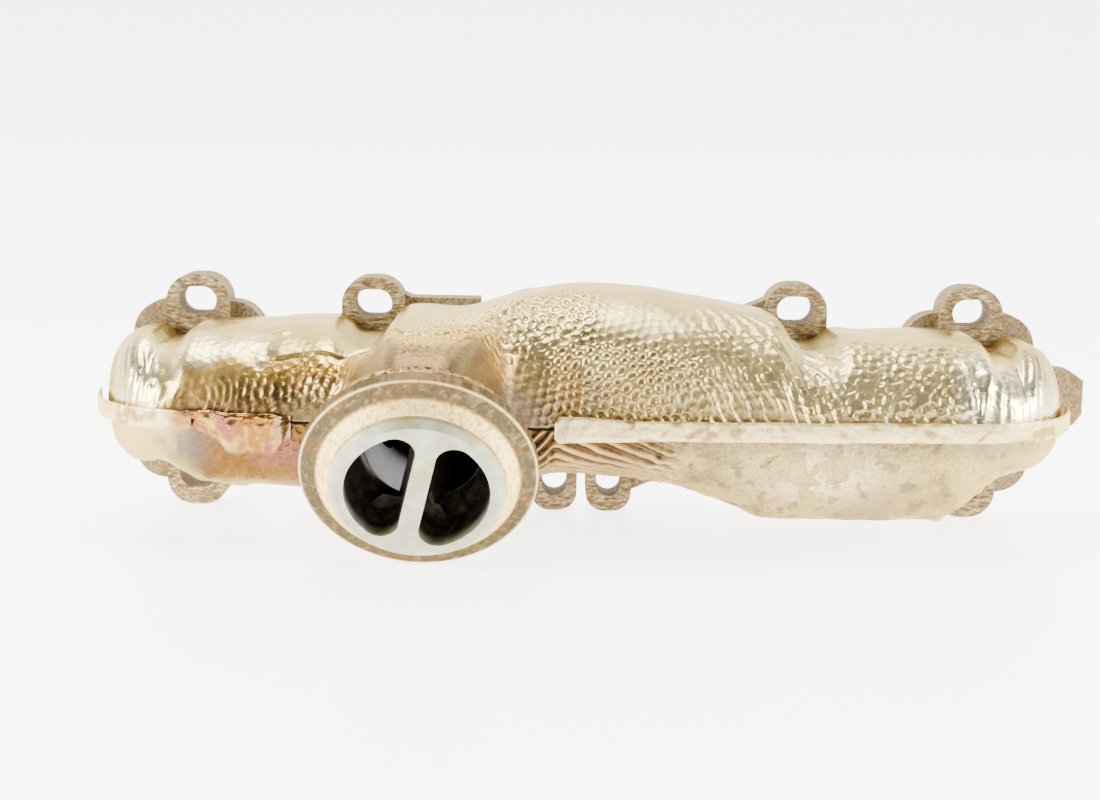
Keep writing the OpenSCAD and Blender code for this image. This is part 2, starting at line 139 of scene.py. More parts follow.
def cells(u, v, seed, jitter=0.15):
    """Distances to the nearest and second nearest centre of a jittered triangular lattice of pitch 1."""
    rng = np.random.default_rng(seed)
    shift_u = rng.uniform(-jitter, jitter, (128, 128))
    shift_v = rng.uniform(-jitter, jitter, (128, 128))
    row = np.round(v / 0.866).astype(int)
    near = np.full(u.shape, 9.0)
    second = np.full(u.shape, 9.0)
    for dj in (-1, 0, 1):
        j = row + dj
        half = 0.5 * (j % 2)
        col = np.round(u - half).astype(int)
        for di in (-1, 0, 1):
            i = col + di
            d = np.hypot(u - (i + half + shift_u[i % 128, j % 128]),
                         v - (0.866 * j + shift_v[i % 128, j % 128]))
            second = np.minimum(second, np.maximum(near, d))
            near = np.minimum(near, d)
    return near, second


def turned(u, v, degrees):
    """Coordinates along and across a direction at this angle from the u axis."""
    a = math.radians(degrees)
    return u * math.cos(a) + v * math.sin(a), -u * math.sin(a) + v * math.cos(a)


# ---- Shield surface ----

def crest_height(x):
    """Height of the upper half's crest, with its four bolt grooves pressed in."""
    z = curve(x, CREST)
    return z + sum((floor - z) * bump(x - at, w) for at, w, floor in GROOVES)


def shield_columns(end_count, middle_count):
    """X of each column and how far its section has shrunk: superellipse ends round a straight middle."""
    a = np.radians(89.4) * np.linspace(1, 0, end_count, endpoint=False)
    x_end = END_START + (HALF_LENGTH - END_START) * np.sin(a) ** (2 / END_ROUND)
    k_end = np.cos(a) ** (2 / END_ROUND)
    middle = np.linspace(-END_START, END_START, middle_count)
    return (np.concatenate([-x_end, middle, x_end[::-1]]),
            np.concatenate([k_end, np.ones(middle_count), k_end[::-1]]))


def shield_surface(side, x, k, front_rows, rear_rows, depth=0.0):
    """Half shell as a grid of points.

    Each column is a superellipse arc from the seam up (side 1) or down (side -1) to the crest or keel,
    then a nearly straight run to the rear edge. Round the outlet the arc starts where it clears the neck.
    """
    tip = crest_height(x) if side > 0 else curve(x, KEEL)
    h = side * (tip - SEAM_Z) - depth
    n = 2.2 + 1.8 * bump(x - OUTLET[0], 30)
    front = curve(x, FRONT) + depth - (46 if side > 0 else 14) * bump(x - OUTLET[0], 20)
    d = np.clip(NECK_CLEARANCE**2 - (x - OUTLET[0]) ** 2, 0, None)
    edge = np.maximum(0.4, np.where(d > 0, np.sqrt(d) + side * (BODY_Z - SEAM_Z), 0))
    share = np.minimum(edge / np.maximum(h * k, 0.6), 0.94)
    v0 = np.arcsin(share ** (n / 2)) / (math.pi / 2)
    t = np.linspace(0, 1, front_rows)[None, :]
    v = v0[:, None] + (1 - v0[:, None]) * t
    a = v * math.pi / 2
    power = (2 / n)[:, None]
    y0 = REAR_Y + (front - REAR_Y) * k
    yc = REAR_Y + (CREST_Y - REAR_Y) * k
    y = yc[:, None] + (y0 - yc)[:, None] * np.cos(a).clip(0) ** power
    z = SEAM_Z + side * (h * k)[:, None] * np.sin(a) ** power
    r = np.linspace(0, 1, rear_rows + 1)[None, 1:]
    y = np.concatenate([y, yc[:, None] + (REAR_Y - yc)[:, None] * r], 1)
    z = np.concatenate([z, SEAM_Z + side * (h * k)[:, None] * (1 - 0.02 * r * r)], 1)
    return np.stack([np.broadcast_to(x[:, None], y.shape), y, z], 2)


def outward(points, side):
    """Unit normals of a grid of points, turned away from the inside of the shield."""
    du = np.gradient(points, axis=0)
    dv = np.gradient(points, axis=1)
    n = np.cross(du, dv) * side
    return n / np.maximum(np.linalg.norm(n, axis=2, keepdims=True), 1e-9)


def surface_lengths(points, crest_column):
    """Distances that place the patterns, each a grid of millimetres.

    Along the front from X = 0, down from the crest, and from the front edge: sums of segment lengths.
    """
    flat = points[:, 0, :2]
    along = np.concatenate([[0], np.cumsum(np.linalg.norm(np.diff(flat, axis=0), axis=1))])
    along -= np.interp(0, points[:, 0, 0], along)
    straight = np.abs(points[:, 0, 0]) < END_START
    left = points[straight, 0, 0][0] - along[straight][0]
    right = points[straight, 0, 0][-1] - along[straight][-1]
    along = np.where(straight, points[:, 0, 0], along + np.where(points[:, 0, 0] < 0, left, right))
    seg = np.linalg.norm(np.diff(points, axis=1), axis=2)
    run = np.concatenate([np.zeros((len(points), 1)), np.cumsum(seg, axis=1)], 1)
    down = run[:, crest_column:crest_column + 1] - run
    return np.broadcast_to(along[:, None], down.shape), down, run


LAP_S = [-104, -97, -84, -77, -71, -66, -60, -52, -45, -40, -34, -25, -18]
LAP_A = [30, 29, 30, 27, 25, 38, 55, 57, 52, 47, 37, 20, 8]


def below_lap(s, a):
    """Distance below the lapped edge that runs over the outlet."""
    return a - np.interp(s, LAP_S, LAP_A)


def upper_relief(s, a, e):
    """Height of the upper foil's pattern: ripples, dents, ridges, scales, pleats and crumples.

    A sum of patterns, each a cosine, a cell distance, a Gaussian or noise inside soft windows of s and a.
    """
    warp = 1.6 * rough(s / 14, a / 14, 3)
    fine = 1.2 * rough(s / 5, a / 5, 4, 2)
    under = below_lap(s, a)
    # Shallow waves everywhere
    h = 0.40 * rough(s / 24, a / 20, 5, 2) + 0.12 * rough(s / 7, a / 7, 8, 2)
    # Left flank of the dome: stretched dents in diagonal rows
    p, q = turned(s + warp, -a, 50)
    rows = 0.6 * np.cos(2 * np.pi * (q + 0.5 * fine) / 5.2)
    rows = rows + 0.35 * np.cos(2 * np.pi * (p + fine) / 6.5 + np.pi * np.round(q / 5.2))
    flank = window(s, -44, 0, 9) * step(a, 6, 16) * (1 - 0.75 * step(a, 50, 62)) * step(-under, -60, 0)
    h += 0.40 * rows * flank
    # Short upright ripples under the lapped edge
    p, q = turned(s + 0.9 * warp, -a, 76)
    beads = np.cos(2 * np.pi * (q + 0.7 * fine) / 3.2) * (0.6 + 0.4 * np.cos(2 * np.pi * (p + fine) / 5.0))
    h += 0.38 * beads * window(s, -100, -34, 6) * window(under, 2, 17, 4)
    # Small round dents left of it
    near, second = cells((s + warp) / 6.5, a / 6.5, 23, 0.2)
    h -= 0.5 * np.exp(-((near / 0.25) ** 2)) * window(s, -118, -96, 5) * window(a, 14, 34, 5)
    # Right flank of the dome: long wavy ridges
    _, q = turned(s + 0.5 * np.sin(a / 1.7) + 0.8 * warp, -a, -60)
    ridge = (1 - np.abs(np.sin(np.pi * q / 4.9))) ** 1.2 - 0.3
    h += 1.0 * ridge * window(s, 38, 88, 7) * step(a, 2, 12)
    _, q = turned(s + warp, -a, -66)
    h += 0.35 * np.cos(2 * np.pi * q / 4.4) * window(s, 26, 42, 7) * step(a, 26, 36)
    # Dents with raised rims on the dome's lower front
    near, second = cells((s + warp + 0.4 * fine) / 5.0, (a + 0.7 * warp) / 4.6, 21, 0.2)
    dent = 1.2 * np.minimum(second - near, 0.4) - 1.0 * np.exp(-((near / 0.24) ** 2))
    h += 0.5 * (dent - 0.1) * window(s, -4, 34, 5) * step(a, 36, 44)
    # Scales on the right lobe
    near, second = cells((s + 0.5 * warp) / 4.7, a / 4.7, 22, 0.15)
    h += 0.75 * (np.minimum(second - near, 0.5) - 0.25) * window(s, 86, 127, 6) * step(a, 8, 17)
    # Pleats round both ends
    wrinkle = np.cos(2 * np.pi * (s + 0.8 * warp) / 3.6) * step(a, 4, 20)
    h += 0.30 * wrinkle * (step(-s, 142, 152) + step(s, 144, 152))
    # Crinkles beside the left end, and the crumple with upright folds on the right
    h += 0.65 * rough(s / 4.5, a / 8, 31) * window(s, -150, -136, 4) * step(a, 6, 18)
    h += 0.16 * np.cos(2 * np.pi * (s + 1.5 * warp) / 3.0) * window(s, -140, -100, 5) * step(a, 34, 44)
    for at, lean, tall in ((130.0, 0.10, 1.2), (134.5, -0.12, 1.7), (139.5, 0.05, 1.1), (143.0, -0.04, 0.6)):
        fold = np.exp(-(((s - at - lean * (a - 36) - 0.5 * warp) / 1.2) ** 2))
        h += tall * fold * step(a, 22, 30)
    h += 0.5 * rough(s / 5, a / 5, 33) * window(s, 127, 146, 4) * step(a, 10, 26)
    # The strip above the lapped edge lies proud of the foil below it
    lap = window(s, -106, -20, 3)
    calm = 1 - 0.8 * lap * step(-under, -1, 1) * step(under, -14, -8)
    return h * calm + 0.8 * lap * step(-under, -0.5, 0.5)


def upper_dimples(s, a, e):
    """How deep the small pressed dimples are on the upper foil, from 0 to 1."""
    under = below_lap(s, a)
    d = 1.0 * window(s, -60, 4, 8) * step(a, 4, 14) * (1 - 0.8 * step(a, 52, 62)) * step(-under, -60, 0)
    d = np.maximum(d, 0.9 * window(s, -14, 40, 8) * step(a, 32, 42))
    d = np.maximum(d, 0.35 * window(s, -116, -50, 6) * window(under, 2, 20, 4))
    d = np.maximum(d, 0.30 * window(s, 36, 130, 8) * step(a, 6, 16))
    return np.clip(np.maximum(d, 0.10 * step(a, 2, 12)), 0, 1)


def lower_dimples(s, a, e):
    """How deep the dimples are on the lower foil: faint, a little deeper right of the outlet."""
    return 0.12 + 0.2 * window(s, 26, 120, 14) + 0.25 * window(s, -128, -84, 8)


def fold_lines(s, e, warp):
    """Number of the fold that runs over the hump beside the outlet, counted down from the seam."""
    run = s + 10
    fall = np.where(run < 0, -1.1 * run, 0.42 * run) * step(np.abs(run), 0, 3)
    return (e - fall + 0.9 * warp) / 4.4


def lower_relief(s, a, e):
    """Height of the lower foil's pattern: folds near the outlet, faint pleats, dents and upright folds.

    A sum of cosines, Gaussians and noise inside soft windows of s and e.
    """
    warp = 1.6 * rough(s / 14, e / 14, 43)
    h = 0.45 * rough(s / 26, e / 20, 45, 2) + 0.14 * rough(s / 7, e / 7, 48, 3)
    folds = 0.8 * np.cos(2 * np.pi * fold_lines(s, e, warp)) + 0.4
    h += folds * window(s, -24, 30, 8) * window(e, 2, 34, 4)
    _, q = turned(s + warp, -e, 40)
    h += 0.45 * np.cos(2 * np.pi * q / 6.0) * window(s, 18, 76, 10) * step(e, 4, 12)
    h += 0.9 * rough(s / 8, e / 8, 51) * window(s, -132, -84, 6) * step(e, 2, 10)
    _, q = turned(s + warp, -e, 55)
    h += 0.45 * np.cos(2 * np.pi * q / 4.4) * window(s, -124, -100, 5) * window(e, 12, 28, 4)
    for at, tall in ((119.5, 0.9), (123.5, -0.4), (136.0, 1.1), (140.0, 0.7)):
        h += tall * np.exp(-(((s - at - 0.1 * (e - 15) - 0.5 * warp) / 1.5) ** 2)) * step(e, 2, 8)
    h += 0.30 * np.cos(2 * np.pi * (s + warp) / 4.6) * (step(s, 140, 150) + 0.5 * step(-s, 142, 152))
    return h


# ---- Heat colours, with painted light and shade ----
# Like the reliefs, all of these take s along the front, a down from the crest and e from the front edge.

STRAW = np.array([0.52, 0.405, 0.16])


def tinted(colour, weight, tint):
    """Blends a colour field towards a tint by a weight field."""
    w = np.clip(weight, 0, 1)[..., None]
    return colour * (1 - w) + np.array(tint) * w


def upper_heat_and_painted_light(s, a, e):
    """Heat colours of the upper foil: straw, going bronze, purple and brown near the outlet; painted light
    on the left shoulder and both ends, painted shade on the crest.
    """
    c = np.broadcast_to(STRAW, s.shape + (3,)).copy()
    n = rough(s / 11, a / 11, 61)
    m = rough(s / 4, a / 4, 64)
    under = below_lap(s, a)
    c = tinted(c, 0.6 * step(n, 0.0, 1.0), (0.37, 0.29, 0.165))
    # Painted highlight: a pale patch where the light catches the left tube's shoulder.
    c = tinted(c, 0.9 * window(s, -142, -108, 5) * window(a + 3 * n, 16, 30, 4), (0.84, 0.70, 0.40))
    c = tinted(c, 0.8 * window(s, -142, -98, 6) * step(a + 5 * n, 30, 42), (0.25, 0.14, 0.045))
    c = tinted(c, 0.7 * window(s, -138, -100, 6) * window(a + 6 * n, 27, 38, 4), (0.64, 0.38, 0.08))
    c = tinted(c, 0.6 * window(s, -136, -96, 6) * step(a + 6 * m, 40, 48), (0.11, 0.065, 0.035))
    c = tinted(c, 0.5 * step(m, 0.1, 0.7) * window(s, -136, -124, 4) * step(a, 30, 36), (0.80, 0.46, 0.12))
    c = tinted(c, 0.9 * window(s, -102, -22, 6) * step(under + 3 * n, 7, 17), (0.15, 0.095, 0.045))
    c = tinted(c, 0.85 * window(s, -104, -36, 6) * window(under + 3 * m, 1, 10, 3), (0.70, 0.42, 0.07))
    c = tinted(c, 0.65 * window(s, -98, -62, 6) * window(under + 4 * m, 7, 12, 3), (0.48, 0.17, 0.12))
    c = tinted(c, 0.65 * window(s, -46, -12, 6) * window(a + 5 * n, 38, 56, 5), (0.42, 0.25, 0.06))
    c = tinted(c, 0.75 * window(s, -36, -12, 5) * step(a + 4 * m, 52, 60), (0.17, 0.125, 0.10))
    c = tinted(c, 0.6 * spot(s + 2 * m, a, -5, 52, 4, 12), (0.36, 0.16, 0.035))
    c = tinted(c, 0.30 * window(s, 0, 130, 14) * step(a + 6 * n, 48, 66), (0.30, 0.23, 0.13))
    c = tinted(c, 0.75 * window(s, -50, 126, 14) * window(a + 5 * n, 8, 48, 10), (0.68, 0.56, 0.27))
    # Painted shade: the crest is darkened against the light that falls on the top.
    c = tinted(c, 0.55 * step(-a, -18, -6), (0.42, 0.31, 0.13))
    # Painted light: both ends are lightened where the side lamps fall (this line and the next).
    c = tinted(c, 0.9 * window(s, 126, 176, 5) * step(a + 4 * n, 12, 22), (0.98, 0.88, 0.62))
    c = tinted(c, 0.7 * window(s, -172, -146, 4) * step(a, 4, 14), (0.92, 0.80, 0.52))
    return c


def upper_dust(s, a, e):
    """How dull the upper foil is: bright on its shoulder and at the right end, sooty towards the seam."""
    n = rough(s / 10, a / 10, 121)
    d = 0.08 + 0.42 * step(a + 6 * n, 38, 58) + 0.30 * window(s, -10, 62, 12) * step(34 - a, 0, 14)
    d = d + 0.22 * window(s, -100, -20, 8) * step(below_lap(s, a) + 4 * n, 10, 24)
    d = d + 0.12 * window(s, 20, 126, 10)
    return np.clip(d * (1 - 0.9 * window(s, 128, 172, 4)) * (1 - 0.7 * step(-s, 140, 150)), 0, 1)


def lower_dust(s, a, e):
    """How dull the lower foil is: everywhere matt, less so at the left end."""
    n = rough(s / 12, e / 12, 123)
    d = 0.60 + 0.2 * n - 0.5 * step(-s, 128, 150) - 0.3 * step(s, 126, 140)
    return np.clip(d - 0.4 * window(s, -24, 26, 8) - 0.3 * window(s, -126, -80, 6), 0, 1)


def lower_heat_and_painted_light(s, a, e):
    """Heat colours of the lower foil: cream, with a smudge, orange and purple near the outlet; painted shade
    in the fold valleys beside the outlet and under the right hem.
    """
    c = np.broadcast_to(np.array([0.56, 0.44, 0.18]), s.shape + (3,)).copy()
    n = rough(s / 11, e / 11, 71)
    m = rough(s / 4, e / 4, 74)
    c = tinted(c, 0.95 * window(s, -134, -78, 5) * window(e + 3 * n, -6, 30, 6), (0.16, 0.068, 0.012))
    c = tinted(c, 0.8 * window(s, -112, -82, 5) * window(e + 5 * m, 4, 18, 4), (0.22, 0.085, 0.06))
    c = tinted(c, 0.9 * spot(s + 3 * m, e + 3 * n, -135, 12, 7, 10), (0.13, 0.10, 0.10))
    c = tinted(c, 0.8 * window(s, -106, -78, 5) * step(e + 4 * n, 16, 26), (0.20, 0.12, 0.08))
    c = tinted(c, 0.8 * window(s, -26, 22, 6) * window(e + 3 * m, -2, 32, 5), (0.40, 0.25, 0.10))
    # Painted shade: near black in the valleys of the folds beside the outlet.
    warp = 1.6 * rough(s / 14, e / 14, 43)
    c = tinted(c, 0.97 * step(-np.cos(2 * np.pi * fold_lines(s, e, warp)) + 0.5 * m, -0.5, 0.3)
               * window(s, -26, 30, 6) * (1 - step(e, 16, 26) * step(s, 4, 16)), (0.07, 0.035, 0.015))
    c = tinted(c, 0.75 * step(n + 0.4 * m, -0.3, 0.5) * window(s, 20, 150, 12), (0.25, 0.185, 0.09))
    # Painted shade: a darker band on the lower foil just under the overhanging right hem.
    c = tinted(c, 0.5 * window(e + 3 * m, -2, 8, 3) * window(s, 20, 160, 10), (0.22, 0.16, 0.085))
    c = tinted(c, 0.85 * step(n + 0.6 * m, 0.0, 0.15) * spot(s, e, 80, 18, 22, 13), (0.98, 0.82, 0.46))
    c = tinted(c, 0.6 * step(m + 0.3 * n, 0.55, 0.7) * window(s, 20, 150, 10), (0.20, 0.14, 0.08))
    return c


# ---- Meshes ----

def add_field(mesh, name, values):
    """Keeps one value or one vector per point on a mesh, as an attribute that a material can read."""
    values = np.ascontiguousarray(values, np.float32)
    vector = values.ndim == 2
    layer = mesh.attributes.new(name, "FLOAT_VECTOR" if vector else "FLOAT", "POINT")
    layer.data.foreach_set("vector" if vector else "value", values.ravel())


def add_mesh(name, points, faces, material, colours):
    """Puts points (mm) and faces into a named object that rides on the part."""
    mesh = bpy.data.meshes.new(name)
    mesh.from_pydata((np.asarray(points) * MM).tolist(), [], faces)
    # Colour per point: heat tints, with painted light and shade on the outer foils.
    add_field(mesh, "heat_tint_and_painted_light", colours)
    mesh.polygons.foreach_set("use_smooth", np.ones(len(mesh.polygons), bool))
    mesh.materials.append(material)
    mesh.update()
    obj = bpy.data.objects.new(name, mesh)
    bpy.context.scene.collection.objects.link(obj)
    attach(obj, "root")
    return obj


def grid_faces(nu, nv, start=0, flip=False, closed=False):
    """Quads of a grid stored row by row, optionally closed along v."""
    i, j = np.meshgrid(np.arange(nu - 1), np.arange(nv if closed else nv - 1), indexing="ij")
    k = (j + 1) % nv
    quad = np.stack([i * nv + j, (i + 1) * nv + j, (i + 1) * nv + k, i * nv + k], 2).reshape(-1, 4) + start
    return (quad[:, ::-1] if flip else quad).tolist()


def shell(name, outer, inner, side, material, colours, extra=None):
    """Closed foil: a fine outer grid and a coarse inner grid with the same columns, joined round the edge.

    Extra holds fields on the outer grid, each kept as a mesh attribute of that name.
    """
    nu, nv, _ = outer.shape
    mv = inner.shape[1]
    start = nu * nv
    flip = side < 0
    faces = grid_faces(nu, nv, 0, flip) + grid_faces(nu, mv, start, not flip)
    i = np.arange(nu - 1)
    for o, m in ((0, 0), (nv - 1, mv - 1)):
        a, b = i * nv + o, (i + 1) * nv + o
        c, d = start + (i + 1) * mv + m, start + i * mv + m
        quad = np.stack([a, b, c, d], 1)
        faces += (quad[:, ::-1] if (o == 0) != flip else quad).tolist()
    for row, turn in ((0, flip), (nu - 1, not flip)):
        front = row * nv + np.arange(nv)
        back = start + row * mv + np.arange(mv)
        loop = np.concatenate([front, back[::-1]])
        faces.append((loop[::-1] if turn else loop).tolist())
    points = np.concatenate([outer.reshape(-1, 3), inner.reshape(-1, 3)])
    tint = np.concatenate([colours.reshape(-1, 3), np.full((nu * mv, 3), 0.3)])
    obj = add_mesh(name, points, faces, material, tint)
    for key, field in (extra or {}).items():
        values = np.zeros((len(points),) + field.shape[2:])
        values[:nu * nv] = field.reshape(nu * nv, *field.shape[2:])
        add_field(obj.data, key, values)
    return obj


# ---- Materials ----

def new_material(name):
    """Empty node material with its output and Principled shader."""
    m = bpy.data.materials.new(name)
    m.use_nodes = True
    nodes = m.node_tree.nodes
    return m, nodes, m.node_tree.links, nodes["Principled BSDF"]


def noise(nodes, links, vector, scale, detail=4.0, roughness=0.6):
    """Noise texture on the given coordinates."""
    n = nodes.new("ShaderNodeTexNoise")
    n.inputs["Scale"].default_value = scale
    n.inputs["Detail"].default_value = detail
    n.inputs["Roughness"].default_value = roughness
    links.new(vector, n.inputs["Vector"])
    return n.outputs["Fac"]


def ramp(nodes, links, value, stops):
    """Colour ramp with stops of (position, colour)."""
    r = nodes.new("ShaderNodeValToRGB")
    e = r.color_ramp.elements
    while len(e) < len(stops):
        e.new(0.5)
    for k, (at, colour) in enumerate(stops):
        e[k].position = at
        e[k].color = (*colour, 1) if len(colour) == 3 else (colour[0],) * 3 + (1,)
    links.new(value, r.inputs["Fac"])
    return r.outputs["Color"]


def mix(nodes, links, kind, factor, a, b):
    """Mix of two colours, or of a colour and a link, with the given blend kind."""
    n = nodes.new("ShaderNodeMix")
    n.data_type = "RGBA"
    n.blend_type = kind
    for socket, value in ((n.inputs[0], factor), (n.inputs[6], a), (n.inputs[7], b)):
        if isinstance(value, bpy.types.NodeSocket):
            links.new(value, socket)
        elif isinstance(value, (int, float)):
            socket.default_value = value
        else:
            socket.default_value = (*value, 1)
    return n.outputs[2]


def bump_normal(nodes, links, height, strength, distance, under=None):
    """Normal bumped by a height, on top of another normal if one is given."""
    b = nodes.new("ShaderNodeBump")
    if under is not None:
        links.new(under, b.inputs["Normal"])
    b.inputs["Strength"].default_value = strength
    b.inputs["Distance"].default_value = distance
    links.new(height, b.inputs["Height"])
    return b.outputs["Normal"]


def fill(links, sockets, values):
    """Links or sets each input in turn; None leaves it alone."""
    for socket, value in zip(sockets, values):
        if isinstance(value, bpy.types.NodeSocket):
            links.new(value, socket)
        elif value is not None:
            socket.default_value = value


def calculated(nodes, links, operation, *values):
    """Math node on links and constants."""
    n = nodes.new("ShaderNodeMath")
    n.operation = operation
    fill(links, n.inputs, values)
    return n.outputs[0]


def vector_node(nodes, links, operation, *values):
    """Vector math node on links and constants."""
    n = nodes.new("ShaderNodeVectorMath")
    n.operation = operation
    fill(links, n.inputs, values)
    return n


def rescaled(nodes, links, value, low, high, to_low=0.0, to_high=1.0, kind="LINEAR"):
    """Value mapped from one range to another, held at its ends."""
    n = nodes.new("ShaderNodeMapRange")
    n.interpolation_type = kind
    n.inputs["From Min"].default_value = low
    n.inputs["From Max"].default_value = high
    n.inputs["To Min"].default_value = to_low
    n.inputs["To Max"].default_value = to_high
    links.new(value, n.inputs["Value"])
    return n.outputs["Result"]


def mesh_field(nodes, name, output):
    """Output of a field kept on the mesh."""
    n = nodes.new("ShaderNodeAttribute")
    n.attribute_name = name
    return n.outputs[output]


def object_coordinates(nodes):
    """Object coordinates, in metres."""
    return nodes.new("ShaderNodeTexCoord").outputs["Object"]


def foil_material(name, roughness_low, roughness_high, crumple):
    """Stainless foil: heat colour (with painted light and shade) and dust from the mesh, dark specks, uneven
    polish and small crumples.

    The dimples pressed into the mesh are sharpened here: three cosine waves 120 degrees apart add up to a
    triangular lattice of bowls, darker inside as painted shade and brighter at their raised edges as a
    painted highlight.
    """
    m, nodes, links, shader = new_material(name)
    at = object_coordinates(nodes)
    # Colour from the mesh: heat tints, carrying painted light and shade on the outer foils.
    heat = mesh_field(nodes, "heat_tint_and_painted_light", "Vector")
    dust = mesh_field(nodes, "dust", "Fac")
    depth = mesh_field(nodes, "dimple_depth", "Fac")
    phases = nodes.new("ShaderNodeSeparateXYZ")
    links.new(mesh_field(nodes, "dimple_at", "Vector"), phases.inputs[0])
    waves = [calculated(nodes, links, "COSINE", phases.outputs[axis]) for axis in "XYZ"]
    total = calculated(nodes, links, "ADD", calculated(nodes, links, "ADD", waves[0], waves[1]), waves[2])
    rim = rescaled(nodes, links, total, BOWL_LOW, BOWL_HIGH, 1.0, 0.0, "SMOOTHSTEP")
    pressed = calculated(nodes, links, "MULTIPLY", rim, depth)

    grit = noise(nodes, links, at, 1100, 4, 0.75)
    specks = ramp(nodes, links, noise(nodes, links, at, 800, 3),
                  [(0.28, (0.30, 0.22, 0.14)), (0.36, (1, 1, 1))])
    powder = ramp(nodes, links, grit, [(0.34, (0.30, 0.25, 0.20)), (0.60, (1.0, 1.0, 0.98))])
    cloud = ramp(nodes, links, noise(nodes, links, at, 55, 5), [(0.3, (0.78, 0.73, 0.66)), (0.6, (1, 1, 1))])
    # Painted shade inside the dimple bowls and a painted highlight on their raised edges.
    bowl_shade_and_rim_highlight = ramp(nodes, links, pressed, [(0.0, (0.66, 0.60, 0.50)), (0.8, (1.2, 1.16, 1.08))])
    colour = mix(nodes, links, "MULTIPLY", 0.6, heat, specks)
    colour = mix(nodes, links, "MULTIPLY", 0.8, colour, cloud)
    colour = mix(nodes, links, "MULTIPLY", dust, colour, powder)
    colour = mix(nodes, links, "MULTIPLY", depth, colour, bowl_shade_and_rim_highlight)
    links.new(colour, shader.inputs["Base Color"])

    polish = ramp(nodes, links, noise(nodes, links, at, 90, 6, 0.7),
                  [(0.3, (roughness_low,)), (0.7, (roughness_high,))])
    links.new(mix(nodes, links, "MIX", dust, polish, (DUSTY_ROUGHNESS,) * 3), shader.inputs["Roughness"])
    links.new(rescaled(nodes, links, dust, 0, 1, 0.97, 0.70), shader.inputs["Metallic"])
    shader.inputs["Specular Tint"].default_value = (0.88, 0.76, 0.46, 1)
    crumples = calculated(nodes, links, "MULTIPLY_ADD", grit, 0.35, noise(nodes, links, at, 230, 4, 0.6))
    dimpled = bump_normal(nodes, links, pressed, 1.0, 0.0004)
    links.new(bump_normal(nodes, links, crumples, crumple, 0.0006, dimpled), shader.inputs["Normal"])
    return m


def cast_material(name, dark, light, rust):
    """Rough casting: pitted grain, patches of rust, and machined faces at the front of the lugs."""
    m, nodes, links, shader = new_material(name)
    at = object_coordinates(nodes)
    grains = noise(nodes, links, at, 900, 5, 0.7)
    body = ramp(nodes, links, grains, [(0.32, dark), (0.62, light)])
    patches = ramp(nodes, links, noise(nodes, links, at, 75, 4), [(0.45, (0,)), (0.68, (1,))])
    colour = mix(nodes, links, "MIX", patches, body, rust)
    colour = mix(nodes, links, "MIX", 0.55, body, colour)
    split = nodes.new("ShaderNodeSeparateXYZ")
    links.new(at, split.inputs[0])
    machined = calculated(nodes, links, "LESS_THAN", split.outputs["Y"], LUG_FACE_Y)
    stretch = nodes.new("ShaderNodeMapping")
    stretch.inputs["Scale"].default_value = (1.0, 1.0, 3.5)
    stretch.inputs["Rotation"].default_value = (0, 0.35, 0)
    links.new(at, stretch.inputs["Vector"])
    streaks = ramp(nodes, links, noise(nodes, links, stretch.outputs[0], 300, 6, 0.8),
                   [(0.36, (0.045, 0.028, 0.015)), (0.5, (0.22, 0.145, 0.07)), (0.66, (0.66, 0.54, 0.32))])
    links.new(mix(nodes, links, "MIX", machined, colour, streaks), shader.inputs["Base Color"])
    shader.inputs["Metallic"].default_value = 0.0
    shader.inputs["Roughness"].default_value = 0.8
    shader.inputs["Specular IOR Level"].default_value = 0.1
    links.new(bump_normal(nodes, links, grains, 0.5, 0.0006), shader.inputs["Normal"])
    return m


def simple_metal(name, dark, light, scale, roughness, metallic=1.0, strength=0.2):
    """Metal with mottled colour and a fine bump."""
    m, nodes, links, shader = new_material(name)
    at = object_coordinates(nodes)
    mottle = noise(nodes, links, at, scale, 5)
    links.new(ramp(nodes, links, mottle, [(0.3, dark), (0.7, light)]), shader.inputs["Base Color"])
    shader.inputs["Metallic"].default_value = metallic
    shader.inputs["Roughness"].default_value = roughness
    fine = noise(nodes, links, at, scale * 8, 3)
    links.new(bump_normal(nodes, links, fine, strength, 0.0004), shader.inputs["Normal"])
    return m


def ring_material():
    """Turned and rusted metal: colours from the mesh, fine grit."""
    m, nodes, links, shader = new_material("outlet_ring")
    at = object_coordinates(nodes)
    tint = mesh_field(nodes, "heat_tint_and_painted_light", "Vector")
    grit = ramp(nodes, links, noise(nodes, links, at, 800, 5, 0.7),
                [(0.34, (0.35, 0.28, 0.20)), (0.56, (1.1, 1.05, 1.0))])
    links.new(mix(nodes, links, "MULTIPLY", 0.7, tint, grit), shader.inputs["Base Color"])
    shader.inputs["Metallic"].default_value = 0.75
    shader.inputs["Specular Tint"].default_value = (0.70, 0.60, 0.40, 1)
    shader.inputs["Roughness"].default_value = 0.45
    pits = noise(nodes, links, at, 900, 5, 0.7)
    links.new(bump_normal(nodes, links, pits, 0.35, 0.0005), shader.inputs["Normal"])
    return m


